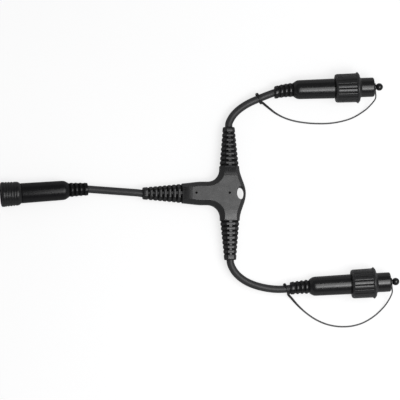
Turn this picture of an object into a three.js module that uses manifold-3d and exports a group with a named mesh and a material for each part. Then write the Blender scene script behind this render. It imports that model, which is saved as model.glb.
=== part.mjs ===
// Waterproof T-shaped splitter cable for low-voltage lighting: one threaded inlet, two capped outlets.
// Millimetres. X runs from the inlet to the outlets, Y across, Z up.
// The origin is the middle of the junction's flat underside, which lies on the table.
import * as THREE from 'three';
import * as BufferGeometryUtils from 'three/addons/utils/BufferGeometryUtils.js';
import Module from 'manifold-3d';

const wasm = await Module();
wasm.setup();

// Clearances
const GAP = 0.3; // between touching pieces
const CUT = 1; // how far a cutter runs past what it cuts

// Cable
const CABLE_R = 3.25;
const CABLE_SIDES = 8;
const CORE_R = 1.1; // one insulated conductor
const CORE_SIDES = 6;
const CORE_SPREAD = 1.45; // from the cable's axis to each conductor's axis
const SHEATH_END = 3; // sheath left inside the bore before the conductors fan out
const BORE_R = CABLE_R + GAP;
const BORE_RINGS = 5;

// Junction moulding
const JUNCTION_HEIGHT = 17;
const ARM_SIDE = 58.3; // centre to the tip of each outlet arm
const ARM_INLET = 76.4; // centre to the tip of the inlet arm
const ARM_RELIEF = 34.5; // ribbed length of each arm
const ARM_TIP_R = 5.2;
const ARM_ROOT_R = 8.4;
const ARM_FLATTEN = 0.88; // the reliefs are a little lower than wide
const ARM_HALF_WIDTH = 8.6;
const INLET_HALF_WIDTH = 10.2;
const FILLET_RUNOUT = 2.6; // straight side left between an inside corner and its relief
const FILLET = ARM_SIDE - ARM_RELIEF - INLET_HALF_WIDTH - FILLET_RUNOUT; // inside corners between the arms
const INLET_STRAIGHT = 6.3; // parallel stretch of the inlet arm between corner and taper
const INLET_TAPER = ARM_INLET - ARM_RELIEF - ARM_HALF_WIDTH - FILLET - INLET_STRAIGHT;
const BEVEL_IN = 4; // plateau edge to outline
const BEVEL_HIGH = 6;
const EAR_REACH = 5.6; // bulge past the outlet arms' side
const SLOT_WIDTH = 6.7;
const SLOT_LENGTH = 10.5;
const SLOT_RIM = 1.3; // wall outside the slot
const ARM_GAPS = 8;
const ARM_GAP_PITCH = 4.05;
const ARM_GAP_FIRST = 5.1; // first gap's middle, from the tip
const ARM_GAP_WIDTH = 1.6;
const ARM_CORE_TIP_R = 4.5;
const ARM_CORE_ROOT_R = 6.2;
const SPINE_WIDTH = 1.8;
const DIMPLE_R = 0.8;
const DIMPLE_DEPTH = 0.5;
const DIMPLE_INLET_X = -30; // the two small moulding dimples on the plateau
const DIMPLE_MIDDLE_X = -0.8;

// Splice chamber in the junction
const SPLICE_R = 2.5;
const SPLICE_LENGTH = 9.6;
const SPLICE_X = -3;
const SPLICE_LIFT = SPLICE_R + GAP; // above and below the middle plane
const CHAMBER_HALF_HEIGHT = SPLICE_LIFT + SPLICE_R + GAP;
const CHAMBER_FAR_X = 2.6;
const CHAMBER_INLET_X = -17;
const CHAMBER_SIDE_X = -11;
const CHAMBER_INLET_HALF = 6.5;
const CHAMBER_SIDE_HALF = 11.5;

// Connector grips, each measured along its own axis from the tip of its strain relief
const RELIEF = 17.4;
const RELIEF_TIP_R = 5.5;
const RELIEF_ROOT_R = 6.3;
const RELIEF_GAPS = 4;
const RELIEF_GAP_PITCH = 3.9;
const RELIEF_GAP_FIRST = 4.3;
const RELIEF_GAP_WIDTH = 1.7;
const RELIEF_CORE_R = 4.5;
const WEB_WIDTH = 3.6;
const SHOULDER = 4.2; // cone from the relief to the full body
const BODY_REAR_R = 8.4;
const BODY_FRONT_R = 8.75;
const OUTLET_BODY = 35.8;
const INLET_BODY = 40.8;
const CORE_CHAMBER_R = 5.5;
const CORE_CHAMBER = 13;
const SPIGOT_R = 6.3;
const SHEATH_IN_GRIP = 21; // how far the cable reaches into a grip

// Contacts
const PIN_R = 0.8;
const PIN_SPREAD = 2.6;
const TAIL_R = 1.2;
const TAIL_LENGTH = 5;
const SLEEVE_DEPTH = 9; // bore of a female contact
const CORE_STRAIGHT = 3; // conductor's straight stretch at each end

// Outlet front: contact carrier, coupling nut, seal, cap
const NUT_LENGTH = 21.2;
const NUT_R = 12.85;
const NUT_REAR_R = 12.0;
const NUT_CHAMFER = 1.5;
const NUT_TAPER = 0.2; // the grip flares this much towards the flange
const NUT_GROOVES = 20;
const NUT_GROOVE_WIDTH = 0.9;
const NUT_GROOVE_DEPTH = 0.8;
const FLANGE_R = 13.8;
const FLANGE_LENGTH = 2.8;
const FLANGE_RISE = 0.9;
const FLANGE_CONE = 1.5;
const FLANGE_MOUTH_R = 12.0;
const NUT_BACK_WALL = 2.6;
const NUT_SEAT_GAP = 0.9; // dark groove between grip and nut
const THREAD_R = 10.8; // outside of the inlet collar's and cap's threads
const BARREL_R = 7.4;
const BARREL_REACH = 16.4; // from the grip's front face to the barrel's face
const NECK_R = 7.9; // barrel where the nut turns on it
const KEEPER_R = 9.4; // ring that keeps the nut on
const KEEPER_LENGTH = 1.8;
const SEAL_LENGTH = 1.6;
const SEAL_R = 9.0;
const CAP_R = 8.5;
const CAP_REACH = 13; // from the nut's front to the cap's end
const CAP_CONE = 2;
const CAP_ROUND = 1.4;
const NECK_BALL_R = 1.7;
const NECK_LENGTH = 1.8;
const BALL_R = 3.3;
const THREAD_PLAY = 0.35; // smooth cap skirt inside the nut's thread

// Inlet front: threaded collar with its socket
const COLLAR_LENGTH = 17.4;
const COLLAR_FRONT_R = 10.8;
const COLLAR_REAR_R = 10.3;
const COLLAR_CONE = 2.4;
const COLLAR_EDGE = 0.9;
const SOCKET_DEPTH = 12.6;
const PIN_RECESS = 5;
const GASKET_LENGTH = 1.4;
const GASKET_BORE_R = 4.6;

// Tethers
const TETHER_R = 0.8;
const TETHER_SIDES = 8;
const RING_BORE_R = 4.1;
const RING_R = 5.4;
const RING_THICK = 1.3;
const EYELET_BORE_R = NECK_BALL_R + GAP;
const EYELET_R = 3.4;
const STRAP_CLEARANCE = 1; // from the cap's side to the strap's middle
const STRAP_DROP = 3; // strap below the cap's axis where it passes the cap's edge
const EYELET_THICK = NECK_LENGTH - 2 * GAP - 0.1;
const RING_YAW = THREE.MathUtils.degToRad(26.6);

// Where each connector lies: the tip of its relief, its heading and its relief's bend and turn
const INLET_RUN = 47.7; // cable between the inlet arm and the inlet grip
const INLET_TIP = new THREE.Vector2(-ARM_INLET - INLET_RUN, 4.2);
const INLET_YAW = THREE.MathUtils.degToRad(184.2);
const INLET_BEND = 0.4;
const INLET_WEB_TURN = THREE.MathUtils.degToRad(90);
const UPPER_TIP = new THREE.Vector2(40.7, 90.9);
const UPPER_YAW = THREE.MathUtils.degToRad(1.8);
const UPPER_BEND = -1.9;
const UPPER_WEB_TURN = THREE.MathUtils.degToRad(90);
const LOWER_TIP = new THREE.Vector2(52.6, -82.7);
const LOWER_YAW = THREE.MathUtils.degToRad(2.9);
const LOWER_BEND = -0.6;
const LOWER_WEB_TURN = THREE.MathUtils.degToRad(55);

// Free stretches of the cables and tethers, chosen by hand
const INLET_ROUTE = [
  [-4.1, 0.5, 8.5], [-11.6, 1.1, 8.3], [-19.6, 1.7, 8.1], [-27.6, 2.3, 8.0], [-35.6, 2.9, 7.9],
  [-42.6, 3.4, 7.9],
].map(([fromArm, y, z]) => [fromArm - ARM_INLET, y, z]);
const UPPER_ROUTE = [
  [0.2, 61.5, 8.5], [1.7, 65, 8.4], [4.0, 68.6, 8.3], [7.2, 72.1, 8.2], [11.2, 75.4, 8.2],
  [16.0, 78.5, 8.2], [21.5, 81.3, 8.3], [28.0, 84.1, 8.5], [35.0, 86.9, 8.7],
];
const LOWER_ROUTE = [
  [0.4, -61.5, 8.5], [1.9, -65.2, 8.4], [4.4, -69.2, 8.3], [8.0, -72.9, 8.2], [12.8, -76.4, 8.1],
  [18.6, -79.3, 8.1], [25.5, -81.6, 8.2], [33.0, -83.2, 8.3], [40.5, -84.0, 8.5], [47.5, -83.9, 8.8],
];
const UPPER_RING_AT = new THREE.Vector3(27.2, 83.8, 8.0);
const UPPER_TETHER = [
  [30.3, 80.9, 4.0], [33.6, 78.6, 2.8], [37.6, 75.6, 1.6], [42.8, 71.8, 0.8], [50.7, 67.7, 0.8],
  [59.8, 64.9, 0.8], [69.9, 63.3, 0.8], [80.0, 62.7, 0.8], [91.0, 63.0, 0.8], [102.0, 64.8, 0.8],
  [111.6, 67.9, 1.0], [119.6, 72.4, 2.0], [125.2, 76.8, 4.6],
];
const LOWER_RING_AT = new THREE.Vector3(49.6, -83.7, 8.4);
const LOWER_TETHER = [
  [51.9, -88.6, 3.4], [54.9, -91.8, 2.2], [58.2, -95.5, 1.2], [62.4, -99.8, 0.8], [68.6, -105.2, 0.8],
  [76.7, -110.6, 0.8], [85.1, -114.3, 0.8], [92.9, -116.2, 0.8], [100.8, -116.8, 0.8], [108.7, -116.2, 0.8],
  [118.0, -113.6, 0.8], [127.6, -108.2, 1.0], [134.4, -102.3, 2.0], [138.8, -96.8, 4.6],
];

// Materials
const plastic = (color, roughness, metalness = 0) =>
  new THREE.MeshStandardMaterial({ color, roughness, metalness });
const GRIP_LOOK = () => plastic(0x2b2b2d, 0.45);
const JUNCTION_LOOK = () => plastic(0x37373a, 0.5);
const NUT_LOOK = () => plastic(0x28282a, 0.35);
const CABLE_LOOK = () => plastic(0x3a3a3c, 0.6);
const TETHER_LOOK = () => plastic(0x303032, 0.5);
const CARRIER_LOOK = () => plastic(0x1f1f20, 0.4);
const SEAL_LOOK = () => plastic(0x9a4a32, 0.7);
const BRASS_LOOK = () => plastic(0xc9a24a, 0.3, 1);
const LIVE_LOOK = () => plastic(0x7a4a2c, 0.5);
const RETURN_LOOK = () => plastic(0x2f5f9e, 0.5);
const SLEEVE_LOOK = () => plastic(0xb8b8bc, 0.35, 1);

// Closed meshes in and out of the boolean library
function tidy(geometry) {
  const bare = geometry.index ? geometry.toNonIndexed() : geometry.clone();
  bare.deleteAttribute('normal');
  bare.deleteAttribute('uv');
  const merged = BufferGeometryUtils.mergeVertices(bare, 1e-4);
  const index = merged.index.array;
  const kept = [];
  for (let i = 0; i < index.length; i += 3) {
    const [a, b, c] = [index[i], index[i + 1], index[i + 2]];
    if (a !== b && b !== c && c !== a) kept.push(a, b, c);
  }
  merged.setIndex(kept);
  return merged;
}

function signedVolume(geometry) {
  const at = geometry.attributes.position;
  const [a, b, c] = [new THREE.Vector3(), new THREE.Vector3(), new THREE.Vector3()];
  let sum = 0;
  for (let i = 0; i < geometry.index.count; i += 3) {
    a.fromBufferAttribute(at, geometry.index.getX(i));
    b.fromBufferAttribute(at, geometry.index.getX(i + 1));
    c.fromBufferAttribute(at, geometry.index.getX(i + 2));
    sum += a.dot(b.cross(c));
  }
  return sum / 6;
}

function solid(geometry) {
  const merged = tidy(geometry);
  const triVerts = Uint32Array.from(merged.index.array);
  if (signedVolume(merged) < 0) {
    for (let i = 0; i < triVerts.length; i += 3) {
      [triVerts[i], triVerts[i + 1]] = [triVerts[i + 1], triVerts[i]];
    }
  }
  const vertProperties = Float32Array.from(merged.attributes.position.array);
  return new wasm.Manifold(new wasm.Mesh({ numProp: 3, vertProperties, triVerts }));
}

function shown(manifold) {
  const mesh = manifold.getMesh();
  const geometry = new THREE.BufferGeometry();
  geometry.setAttribute('position', new THREE.BufferAttribute(Float32Array.from(mesh.vertProperties), 3));
  geometry.setIndex(Array.from(mesh.triVerts));
  geometry.computeVertexNormals();
  return geometry;
}

const joined = (solids) => solids.reduce((sum, next) => sum.add(next));
const cutBy = (body, cutters) => cutters.reduce((left, next) => left.subtract(next), body);

// A body turned about X from [x, radius] points; one corner of its section points straight down
function turned(outline, sides) {
  const points = outline.map(([x, r]) => new THREE.Vector2(r, x));
  const closed = outline[0][1] > 0 ? [...points, points[0].clone()] : points;
  return new THREE.LatheGeometry(closed, sides).rotateZ(-Math.PI / 2);
}

const rod = (x0, x1, r, sides) => turned([[x0, 0], [x0, r], [x1, r], [x1, 0]], sides);
const hoop = (x0, x1, inner, outer, sides) =>
  turned([[x0, inner], [x0, outer], [x1, outer], [x1, inner]], sides);

function block(x0, x1, y0, y1, z0, z1) {
  const shape = new THREE.BoxGeometry(x1 - x0, y1 - y0, z1 - z0);
  return shape.translate((x0 + x1) / 2, (y0 + y1) / 2, (z0 + z1) / 2);
}

function tube(points, radius, sides, steps) {
  const section = new THREE.Shape();
  for (let i = 0; i < sides; i += 1) {
    const turn = (2 * Math.PI * i) / sides;
    const corner = [radius * Math.cos(turn), radius * Math.sin(turn)];
    if (i === 0) section.moveTo(...corner);
    else section.lineTo(...corner);
  }
  section.closePath();
  const extrudePath = new THREE.CatmullRomCurve3(points, false, 'centripetal');
  return new THREE.ExtrudeGeometry(section, { steps, extrudePath, curveSegments: 1 });
}

// Ribbed strain relief along X: rings on a core, cut by gaps that leave two webs opposite each other
function reliefGaps({ first, pitch, count, width, coreAt, webWidth, webTurn }) {
  const cutters = [];
  for (let i = 0; i < count; i += 1) {
    const middle = first + i * pitch;
    const [x0, x1] = [middle - width / 2, middle + width / 2];
    const ring = solid(hoop(x0, x1, coreAt(middle), ARM_ROOT_R + 2 * CUT, 14));
    const reach = ARM_ROOT_R + 3 * CUT;
    const webs = block(x0 - CUT, x1 + CUT, -webWidth / 2, webWidth / 2, -reach, reach).rotateX(webTurn);
    cutters.push(ring.subtract(solid(webs)));
  }
  return joined(cutters);
}

// The cable's bore has rings of its own along the relief, so that it can bend
function bentBore() {
  const outline = [[-CUT, 0]];
  for (let i = 0; i <= BORE_RINGS; i += 1) outline.push([(RELIEF * i) / BORE_RINGS - (i ? 0 : CUT), BORE_R]);
  outline.push([SHEATH_IN_GRIP + CUT, BORE_R], [SHEATH_IN_GRIP + CUT, 0]);
  return outline;
}

// Bends the tail of a grip sideways towards its cable
function bent(geometry, length, sideways) {
  const at = geometry.attributes.position;
  for (let i = 0; i < at.count; i += 1) {
    at.setY(i, at.getY(i) + tailShift(at.getX(i), length, sideways));
  }
  geometry.computeVertexNormals();
  return geometry;
}

function tailShift(x, length, sideways) {
  const back = Math.max(0, length - x) / length;
  return sideways * back * back;
}

// Outline of the junction's block, seen from above
function junctionOutline() {
  const end = ARM_SIDE - ARM_RELIEF;
  const inletEnd = -(ARM_INLET - ARM_RELIEF);
  const shape = new THREE.Shape();
  shape.moveTo(inletEnd, -ARM_HALF_WIDTH);
  shape.lineTo(inletEnd + INLET_TAPER, -INLET_HALF_WIDTH);
  shape.lineTo(-ARM_HALF_WIDTH - FILLET, -INLET_HALF_WIDTH);
  const low = -INLET_HALF_WIDTH - FILLET;
  shape.absarc(-ARM_HALF_WIDTH - FILLET, low, FILLET, Math.PI / 2, 0, true);
  shape.lineTo(-ARM_HALF_WIDTH, -end);
  shape.lineTo(ARM_HALF_WIDTH, -end);
  const steps = 14;
  for (let i = 1; i < steps; i += 1) {
    const y = -end + (2 * end * i) / steps;
    const swell = Math.cos((Math.PI / 2) * (y / end));
    shape.lineTo(ARM_HALF_WIDTH + EAR_REACH * swell * swell, y);
  }
  shape.lineTo(ARM_HALF_WIDTH, end);
  shape.lineTo(-ARM_HALF_WIDTH, end);
  shape.absarc(-ARM_HALF_WIDTH - FILLET, -low, FILLET, 0, -Math.PI / 2, true);
  shape.lineTo(inletEnd + INLET_TAPER, INLET_HALF_WIDTH);
  shape.lineTo(inletEnd, ARM_HALF_WIDTH);
  shape.closePath();
  return shape;
}

function junctionBlock() {
  const straight = JUNCTION_HEIGHT - 2 * BEVEL_HIGH;
  const geometry = new THREE.ExtrudeGeometry(junctionOutline(), {
    depth: straight,
    bevelEnabled: true,
    bevelThickness: BEVEL_HIGH,
    bevelSize: BEVEL_IN,
    bevelOffset: -BEVEL_IN,
    bevelSegments: 3,
    curveSegments: 7,
  });
  return geometry.translate(0, 0, -straight / 2);
}

// One ribbed arm along X with its tip at x = 0, ending inside the block
function armSolid(into) {
  const end = ARM_RELIEF + into;
  const outline = [[0, 0], [0, ARM_TIP_R], [ARM_RELIEF, ARM_ROOT_R], [end, ARM_ROOT_R], [end, 0]];
  const body = solid(turned(outline, 18));
  const coreAt = (x) => ARM_CORE_TIP_R + ((ARM_CORE_ROOT_R - ARM_CORE_TIP_R) * x) / ARM_RELIEF;
  const gaps = reliefGaps({
    first: ARM_GAP_FIRST,
    pitch: ARM_GAP_PITCH,
    count: ARM_GAPS,
    width: ARM_GAP_WIDTH,
    coreAt,
    webWidth: SPINE_WIDTH,
    webTurn: 0,
  });
  return solid(shown(body.subtract(gaps)).scale(1, 1, ARM_FLATTEN));
}

const placed = (manifold, turn, x, y) => solid(shown(manifold).rotateZ(turn).translate(x, y, 0));

function junctionSolid() {
  const intoBlock = BEVEL_IN * 0.35;
  const arm = armSolid(intoBlock);
  const arms = [
    placed(arm, 0, -ARM_INLET, 0),
    placed(arm, Math.PI / 2, 0, -ARM_SIDE),
    placed(arm, -Math.PI / 2, 0, ARM_SIDE),
  ];
  const slotMiddle = ARM_HALF_WIDTH + EAR_REACH - SLOT_RIM - SLOT_WIDTH / 2;
  const half = JUNCTION_HEIGHT / 2;
  const slot = new THREE.CylinderGeometry(0.5, 0.5, 1, 16).rotateX(Math.PI / 2);
  slot.scale(SLOT_WIDTH, SLOT_LENGTH, JUNCTION_HEIGHT + 2 * CUT).translate(slotMiddle, 0, 0);
  const bores = [
    solid(rod(-ARM_INLET - CUT, CHAMBER_INLET_X + CUT, BORE_R, 12)),
    solid(rod(-ARM_SIDE - CUT, ARM_SIDE + CUT, BORE_R, 12).rotateZ(Math.PI / 2)),
  ];
  const high = CHAMBER_HALF_HEIGHT;
  const chambers = [
    solid(block(CHAMBER_INLET_X, CHAMBER_FAR_X, -CHAMBER_INLET_HALF, CHAMBER_INLET_HALF, -high, high)),
    solid(block(CHAMBER_SIDE_X, CHAMBER_FAR_X, -CHAMBER_SIDE_HALF, CHAMBER_SIDE_HALF, -high, high)),
  ];
  const dimples = [DIMPLE_INLET_X, DIMPLE_MIDDLE_X].map((x) =>
    solid(rod(half - DIMPLE_DEPTH, half + CUT, DIMPLE_R, 8).rotateY(-Math.PI / 2).translate(x, 0, 0)),
  );
  return cutBy(joined([solid(junctionBlock()), ...arms]), [solid(slot), ...bores, ...chambers, ...dimples]);
}

// A connector grip along X, tip of the relief at x = 0, open at the front for its carrier
function gripGeometry(bodyLength, webTurn, sideways) {
  const front = RELIEF + bodyLength;
  const outside = solid(turned([
    [0, 0], [0, RELIEF_TIP_R], [RELIEF, RELIEF_ROOT_R], [RELIEF + SHOULDER, BODY_REAR_R],
    [front, BODY_FRONT_R], [front, 0],
  ], 22));
  const gaps = reliefGaps({
    first: RELIEF_GAP_FIRST,
    pitch: RELIEF_GAP_PITCH,
    count: RELIEF_GAPS,
    width: RELIEF_GAP_WIDTH,
    coreAt: () => RELIEF_CORE_R,
    webWidth: WEB_WIDTH,
    webTurn,
  });
  const chamberEnd = SHEATH_IN_GRIP + CORE_CHAMBER;
  const inside = joined([
    solid(turned(bentBore(), 12)),
    solid(rod(SHEATH_IN_GRIP, chamberEnd + CUT, CORE_CHAMBER_R, 12)),
    solid(rod(chamberEnd, front + CUT, SPIGOT_R + 2 * GAP, 16)),
  ]);
  return bent(shown(cutBy(outside, [gaps, inside])), RELIEF, sideways);
}

const outletFront = RELIEF + OUTLET_BODY;
const inletFront = RELIEF + INLET_BODY;
const spigotStart = SHEATH_IN_GRIP + CORE_CHAMBER + GAP;
const pinStart = spigotStart - TAIL_LENGTH;

function pinHoles(x0, x1) {
  return [-1, 1].map((side) =>
    solid(rod(x0, x1, TAIL_R + GAP, 10).rotateX(Math.PI / 2).translate(0, side * PIN_SPREAD, 0)),
  );
}

function outletCarrier() {
  const keeperAt = outletFront + NUT_SEAT_GAP + NUT_BACK_WALL + GAP;
  const face = outletFront + BARREL_REACH;
  const body = solid(turned([
    [spigotStart, 0], [spigotStart, SPIGOT_R], [outletFront + GAP, SPIGOT_R], [outletFront + GAP, NECK_R],
    [keeperAt, NECK_R], [keeperAt, KEEPER_R], [keeperAt + KEEPER_LENGTH, KEEPER_R],
    [keeperAt + KEEPER_LENGTH, BARREL_R], [face, BARREL_R], [face, 0],
  ], 20));
  return shown(cutBy(body, pinHoles(spigotStart - CUT, face + CUT)));
}

// Female contact: solder tail behind, sprung bore in front
function outletContact(side) {
  const face = outletFront + BARREL_REACH - GAP;
  const bore = PIN_R + 0.05;
  const outline = [
    [pinStart, 0], [pinStart, TAIL_R], [face, TAIL_R], [face, bore], [face - SLEEVE_DEPTH, bore],
    [face - SLEEVE_DEPTH, 0],
  ];
  return shown(solid(turned(outline, 10).translate(0, side * PIN_SPREAD, 0)));
}

function sealRing() {
  const start = outletFront + NUT_SEAT_GAP + NUT_BACK_WALL + GAP + KEEPER_LENGTH + GAP;
  const middle = start + SEAL_LENGTH / 2;
  const bore = BARREL_R + GAP;
  const outline = [
    [start, bore + 0.3], [start, SEAL_R - 0.4], [middle, SEAL_R], [start + SEAL_LENGTH, SEAL_R - 0.4],
    [start + SEAL_LENGTH, bore + 0.3], [middle, bore],
  ];
  return shown(solid(turned(outline, 16)));
}

function couplingNut() {
  const start = outletFront + NUT_SEAT_GAP;
  const end = start + NUT_LENGTH;
  const flangeStart = end - FLANGE_LENGTH;
  const threadR = THREAD_R + THREAD_PLAY;
  const wallEnd = start + NUT_BACK_WALL;
  const body = solid(turned([
    [start, NECK_R + GAP], [start, NUT_REAR_R], [start + NUT_CHAMFER, NUT_R - NUT_TAPER],
    [flangeStart, NUT_R], [flangeStart + FLANGE_RISE, FLANGE_R], [end - FLANGE_CONE, FLANGE_R],
    [end, FLANGE_MOUTH_R], [end, threadR], [wallEnd, threadR], [wallEnd, NECK_R + GAP],
  ], 40));
  const inner = NUT_R - NUT_GROOVE_DEPTH;
  const half = NUT_GROOVE_WIDTH / 2;
  const cutters = [];
  for (let i = 0; i < NUT_GROOVES; i += 1) {
    const turn = (2 * Math.PI * (i + 0.5)) / NUT_GROOVES;
    const groove = block(start + NUT_CHAMFER, flangeStart - 0.2, -half, half, inner, NUT_R + CUT);
    cutters.push(solid(groove.rotateX(turn)));
  }
  return shown(body.subtract(joined(cutters)));
}

const nutFront = outletFront + NUT_SEAT_GAP + NUT_LENGTH;
const capEnd = nutFront + CAP_REACH;
const ballMiddle = capEnd + NECK_LENGTH + Math.sqrt(BALL_R ** 2 - NECK_BALL_R ** 2);
const skirtStart = outletFront + NUT_SEAT_GAP + NUT_BACK_WALL + KEEPER_LENGTH + SEAL_LENGTH + 3 * GAP;

function capGeometry() {
  const boreEnd = outletFront + BARREL_REACH + GAP;
  const bore = BARREL_R + GAP;
  const shoulder = nutFront - 0.6;
  const outline = [
    [boreEnd, 0], [boreEnd, bore], [skirtStart, bore], [skirtStart, THREAD_R - 0.4],
    [skirtStart + 0.6, THREAD_R], [shoulder, THREAD_R], [shoulder + CAP_CONE, CAP_R],
    [capEnd - CAP_ROUND, CAP_R], [capEnd - CAP_ROUND * 0.3, CAP_R - CAP_ROUND * 0.3],
    [capEnd, CAP_R - CAP_ROUND], [capEnd, NECK_BALL_R], [capEnd + NECK_LENGTH, NECK_BALL_R],
  ];
  const from = Math.PI - Math.asin(NECK_BALL_R / BALL_R);
  const steps = 6;
  for (let i = 1; i <= steps; i += 1) {
    const turn = from * (1 - i / steps);
    const x = ballMiddle + BALL_R * Math.cos(turn);
    outline.push([x, i === steps ? 0 : BALL_R * Math.sin(turn)]);
  }
  return shown(solid(turned(outline, 20)));
}

function inletCollar() {
  const rear = inletFront + GAP;
  const end = rear + COLLAR_LENGTH;
  const floor = end - SOCKET_DEPTH;
  const socket = BARREL_R + 0.5;
  const body = solid(turned([
    [spigotStart, 0], [spigotStart, SPIGOT_R], [rear, SPIGOT_R], [rear, BODY_FRONT_R],
    [rear + COLLAR_CONE, COLLAR_REAR_R], [end - 2 * COLLAR_EDGE, COLLAR_FRONT_R],
    [end - COLLAR_EDGE * 0.4, COLLAR_FRONT_R - COLLAR_EDGE * 0.4], [end, COLLAR_FRONT_R - COLLAR_EDGE * 1.6],
    [end, socket], [floor, socket], [floor, 0],
  ], 24));
  return shown(cutBy(body, pinHoles(spigotStart - CUT, floor + CUT)));
}

function inletPin(side) {
  const floor = inletFront + GAP + COLLAR_LENGTH - SOCKET_DEPTH;
  const tip = inletFront + GAP + COLLAR_LENGTH - PIN_RECESS;
  const outline = [
    [pinStart, 0], [pinStart, TAIL_R], [floor, TAIL_R], [floor, PIN_R], [tip - PIN_R, PIN_R],
    [tip, PIN_R * 0.4], [tip, 0],
  ];
  return shown(solid(turned(outline, 10).translate(0, side * PIN_SPREAD, 0)));
}

function inletGasket() {
  const start = inletFront + GAP + COLLAR_LENGTH - SOCKET_DEPTH + GAP;
  return shown(solid(hoop(start, start + GASKET_LENGTH, GASKET_BORE_R, BARREL_R, 16)));
}

// Conductors from the cable's end to the solder tails, in a grip's own frame
function gripCore(side) {
  const start = SHEATH_IN_GRIP - SHEATH_END + GAP;
  const end = pinStart - GAP;
  const points = [
    [start, side * CORE_SPREAD, 0], [start + CORE_STRAIGHT, side * CORE_SPREAD, 0],
    [end - CORE_STRAIGHT, side * PIN_SPREAD, 0], [end, side * PIN_SPREAD, 0],
  ].map((p) => new THREE.Vector3(...p));
  return shown(solid(tube(points, CORE_R, CORE_SIDES, 5)));
}

// A connector lies on two rims, each [x, radius]; its tilt and height follow from them
function seatedGroup(tip, yaw, rearRim, frontRim) {
  const tilt = Math.atan((frontRim[1] - rearRim[1]) / (frontRim[0] - rearRim[0]));
  const group = new THREE.Group();
  group.position.set(tip.x, tip.y, rearRim[1] * Math.cos(tilt) - rearRim[0] * Math.sin(tilt));
  group.rotation.set(0, -tilt, yaw, 'ZYX');
  group.updateMatrixWorld(true);
  return group;
}

function addMesh(group, name, geometry, material) {
  const mesh = new THREE.Mesh(geometry, material);
  mesh.name = name;
  group.add(mesh);
}

const nutRearRim = [outletFront + NUT_SEAT_GAP + NUT_CHAMFER, NUT_R - NUT_TAPER];
const nutFrontRim = [nutFront - FLANGE_LENGTH + FLANGE_RISE, FLANGE_R];
const collarRearRim = [inletFront + GAP + COLLAR_CONE, COLLAR_REAR_R];
const collarFrontRim = [inletFront + GAP + COLLAR_LENGTH - 2 * COLLAR_EDGE, COLLAR_FRONT_R];

function outletConnector(name, tip, yaw, sideways, webTurn) {
  const group = seatedGroup(tip, yaw, nutRearRim, nutFrontRim);
  addMesh(group, `${name}_outlet_grip`, gripGeometry(OUTLET_BODY, webTurn, sideways), GRIP_LOOK());
  addMesh(group, `${name}_contact_carrier`, outletCarrier(), CARRIER_LOOK());
  addMesh(group, `${name}_contact_live`, outletContact(1), BRASS_LOOK());
  addMesh(group, `${name}_contact_return`, outletContact(-1), BRASS_LOOK());
  addMesh(group, `${name}_outlet_core_live`, gripCore(1), LIVE_LOOK());
  addMesh(group, `${name}_outlet_core_return`, gripCore(-1), RETURN_LOOK());
  addMesh(group, `${name}_seal_ring`, sealRing(), SEAL_LOOK());
  addMesh(group, `${name}_coupling_nut`, couplingNut(), NUT_LOOK());
  addMesh(group, `${name}_sealing_cap`, capGeometry(), GRIP_LOOK());
  return group;
}

function inletConnector() {
  const group = seatedGroup(INLET_TIP, INLET_YAW, collarRearRim, collarFrontRim);
  addMesh(group, 'inlet_grip', gripGeometry(INLET_BODY, INLET_WEB_TURN, INLET_BEND), GRIP_LOOK());
  addMesh(group, 'inlet_threaded_collar', inletCollar(), CARRIER_LOOK());
  addMesh(group, 'inlet_pin_live', inletPin(1), BRASS_LOOK());
  addMesh(group, 'inlet_pin_return', inletPin(-1), BRASS_LOOK());
  addMesh(group, 'inlet_gasket', inletGasket(), SEAL_LOOK());
  addMesh(group, 'inlet_core_live', gripCore(1), LIVE_LOOK());
  addMesh(group, 'inlet_core_return', gripCore(-1), RETURN_LOOK());
  return group;
}

// Sheathed cable from inside the junction, through its free route, into a grip
function cableGeometry(inJunction, route, connector, sideways, steps) {
  const inGrip = [1, 5, 9, 13, SHEATH_IN_GRIP - SHEATH_END].map((x) =>
    connector.localToWorld(new THREE.Vector3(x, tailShift(x, RELIEF, sideways), 0)),
  );
  const points = [...inJunction, ...route.map((p) => new THREE.Vector3(...p)), ...inGrip];
  return shown(solid(tube(points, CABLE_R, CABLE_SIDES, steps)));
}

const armPoints = (directionX, directionY, reach, inner) =>
  [inner, (inner + reach) / 2, reach].map(
    (d) => new THREE.Vector3(directionX * d, directionY * d, JUNCTION_HEIGHT / 2),
  );

const sideSheathAt = CHAMBER_SIDE_HALF + SHEATH_END;
const inletSheathAt = -CHAMBER_INLET_X + SHEATH_END;

// Conductors inside the junction, level is +1 for the upper splice and -1 for the lower one
function junctionCore(points, level) {
  const middle = JUNCTION_HEIGHT / 2;
  const path = points.map(([x, y, lift]) => new THREE.Vector3(x, y, middle + level * lift));
  return shown(solid(tube(path, CORE_R, CORE_SIDES, 9)));
}

const spliceEnd = SPLICE_LENGTH / 2 + GAP;
const sideCorePath = (side, x) => [
  [0, side * (sideSheathAt - GAP), CORE_SPREAD], [0, side * (sideSheathAt - 3), CORE_SPREAD],
  [x, side * (spliceEnd + 3), SPLICE_LIFT], [x, side * spliceEnd, SPLICE_LIFT],
];
const inletCorePath = [
  [-inletSheathAt + GAP, 0, CORE_SPREAD], [-inletSheathAt + CORE_STRAIGHT, 0, CORE_SPREAD],
  [-12, -3.2, SPLICE_LIFT], [-8.6, -7.6, SPLICE_LIFT], [-6.0, -8.8, SPLICE_LIFT],
  [-4.4, -7.4, SPLICE_LIFT], [-4.2, -spliceEnd, SPLICE_LIFT],
];

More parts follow.
